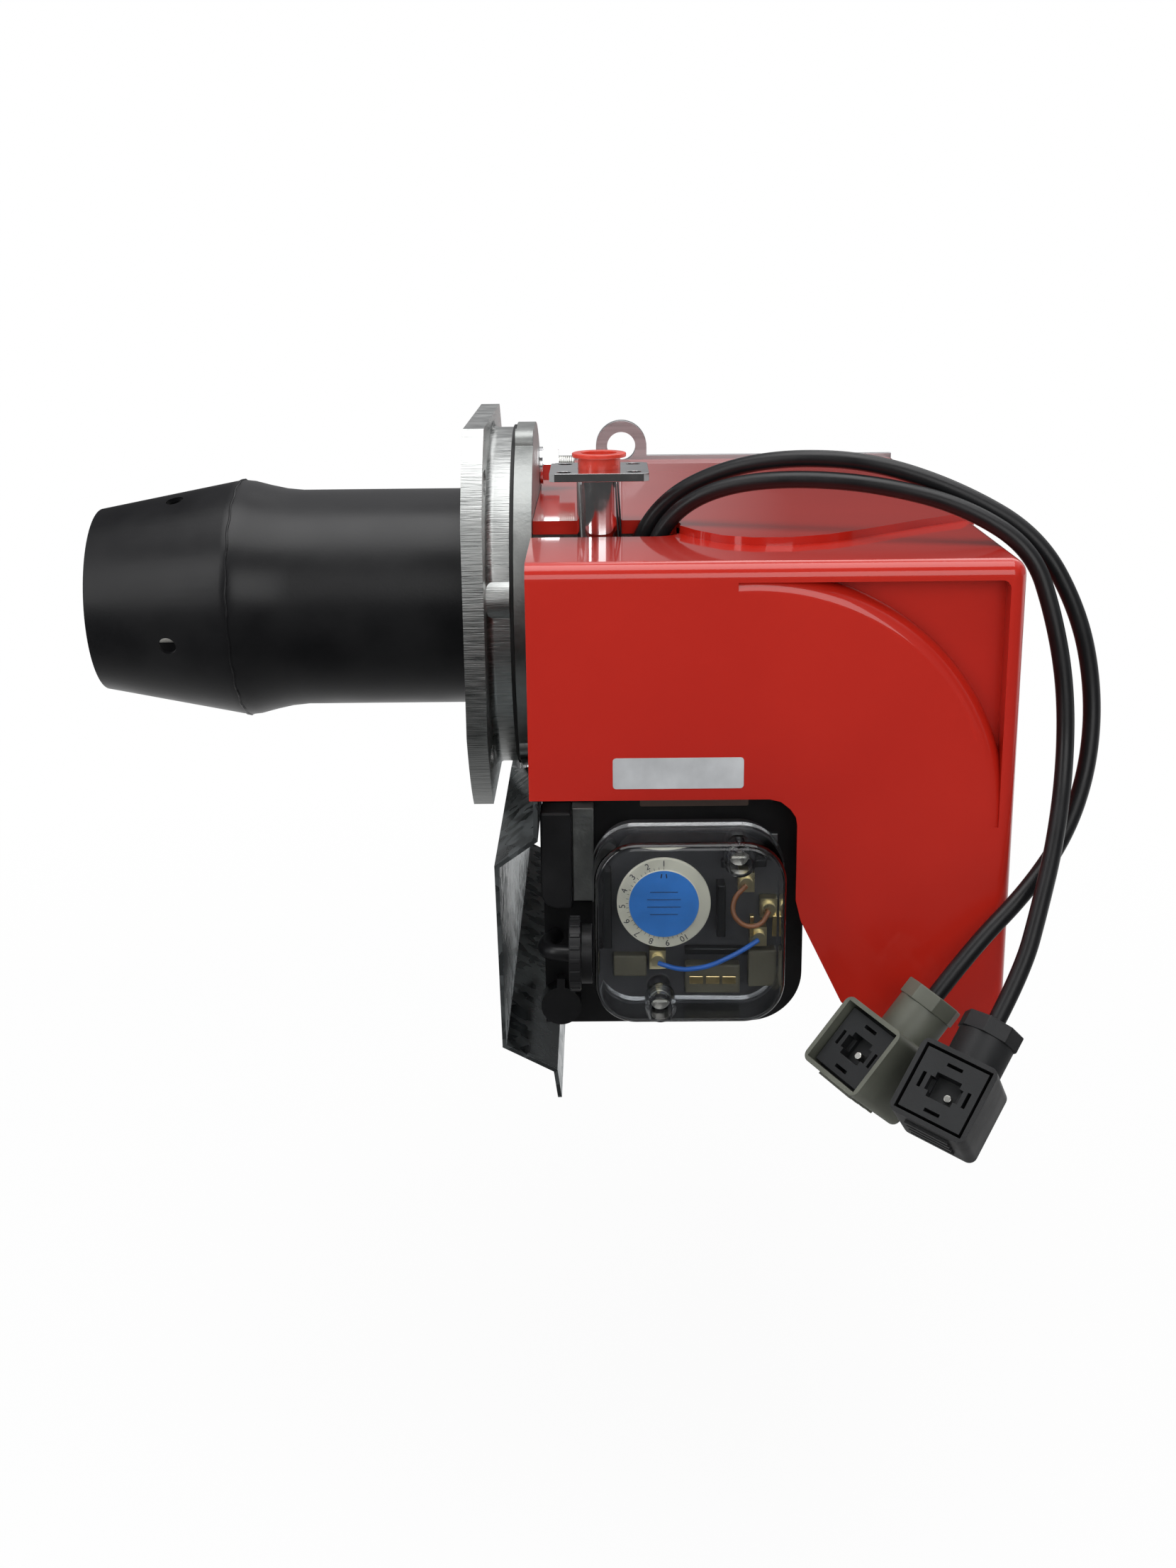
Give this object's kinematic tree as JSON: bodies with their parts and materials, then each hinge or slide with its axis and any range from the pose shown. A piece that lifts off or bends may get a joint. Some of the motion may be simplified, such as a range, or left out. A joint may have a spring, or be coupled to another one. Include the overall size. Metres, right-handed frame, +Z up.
{
  "type": "gas burner",
  "caption": "Forced-draught gas burner: flanged black blast tube, red fan cover, clear-fronted air pressure switch, capped gas inlet, folded air deflector and trailing valve plugs.",
  "frame": {"origin": "centre of the boiler flange's boiler-side face, on the axis of the blast tube", "axes": "-X along the blast tube into the boiler, +X to the rear of the fan body, +Y from the pressure-switch side to the motor side, +Z up"},
  "size_m": [0.3915, 0.376, 0.2398],
  "materials": {
    "black_steel": "satin",
    "cast_alu": "as cast, sawn edges",
    "gasket_black": "matte",
    "cast_alu_body": "as cast",
    "zinc_steel": "zinc plated",
    "bright_chrome": "polished",
    "red_plastic": "semi-gloss",
    "plain_steel": "machined",
    "stainless": "satin",
    "ceramic": "glazed ceramic",
    "galvanised": "galvanised",
    "copper_stator": "enamelled winding",
    "pale_plastic": "matte",
    "black_plastic": "fine grain",
    "button_red": "semi-gloss",
    "red_gloss": "gloss enamel",
    "plate_alu": "brushed",
    "grey_base": "matte",
    "clear_cover": "clear moulded plastic",
    "dial_ivory": "printed",
    "terminal_beige": "plated",
    "wire_blue": "PVC",
    "wire_brown": "PVC",
    "cable_black": "PVC sheath",
    "grey_plastic": "moulded",
    "black_insert": "moulded",
    "black_plug": "moulded"
  },
  "bodies": {
    "burner": {"blast_tube": "black_steel", "mounting_flange": "cast_alu", "body_gasket": "gasket_black", "fan_housing": "cast_alu_body", "flange_studs": "zinc_steel", "flange_nuts": "bright_chrome", "flange_washers": "bright_chrome", "gas_pipe": "bright_chrome", "gas_flange": "bright_chrome", "gas_head": "plain_steel", "diffuser_disc": "stainless", "electrode_bracket": "plain_steel", "ignition_electrode": "ceramic", "ionisation_probe": "ceramic", "motor_can": "cast_alu_body", "motor_stator": "copper_stator", "motor_end_cap": "cast_alu_body", "motor_bearings": "plain_steel", "bearing_spider": "cast_alu_body", "motor_capacitor": "pale_plastic", "capacitor_clip": "galvanised", "control_plate": "galvanised", "control_box_base": "black_plastic", "control_box": "black_plastic", "ignition_transformer": "black_plastic", "cover": "red_gloss", "cover_screw": "bright_chrome", "side_plate": "plate_alu", "intake_box": "black_plastic", "air_deflector": "galvanised", "deflector_tab": "galvanised", "deflector_screws": "zinc_steel", "switch_base": "grey_base", "switch_cover": "clear_cover", "switch_screws": "zinc_steel", "switch_terminals": "terminal_beige", "switch_wire_blue": "wire_blue", "switch_wire_brown": "wire_brown", "switch_gland": "black_plastic", "switch_cable": "cable_black", "switch_bracket": "galvanised", "mains_socket": "black_plastic", "socket_casting": "cast_alu_body", "cable_inner": "cable_black", "cable_outer": "cable_black", "grey_plug_body": "grey_plastic", "grey_plug_insert": "black_insert", "grey_plug_nut": "grey_plastic", "plug_screws": "zinc_steel", "black_plug_body": "black_plug", "black_plug_insert": "black_insert", "black_plug_nut": "black_plug"},
    "gas_plug": {"gas_plug": "red_plastic"},
    "impeller": {"fan_wheel": "galvanised", "motor_shaft": "plain_steel"},
    "damper": {"damper_plate": "plate_alu", "damper_shaft": "plain_steel", "damper_knob": "black_plastic"},
    "dial": {"switch_dial": "dial_ivory"},
    "reset": {"reset_button": "button_red"}
  },
  "joints": [
    {"name": "gas_plug_pull", "type": "slide", "parent": "burner", "child": "gas_plug", "axis": [0, 0, 1], "range_m": [0, 0.02]},
    {"name": "impeller_spin", "type": "hinge", "parent": "burner", "child": "impeller", "pos_m": [0.11, 0, -0.06], "axis": [0, 1, 0], "continuous": true},
    {"name": "air_damper", "type": "hinge", "parent": "burner", "child": "damper", "pos_m": [0.036, 0, -0.133], "axis": [0, 1, 0], "range_deg": [0, 75]},
    {"name": "switch_setting", "type": "hinge", "parent": "burner", "child": "dial", "pos_m": [0.074, 0, -0.085], "axis": [0, 1, 0], "range_deg": [0, 260]},
    {"name": "reset_press", "type": "slide", "parent": "burner", "child": "reset", "axis": [0, 0, -1], "range_m": [0, 0.003], "stiffness_N_per_m": 300}
  ]
}
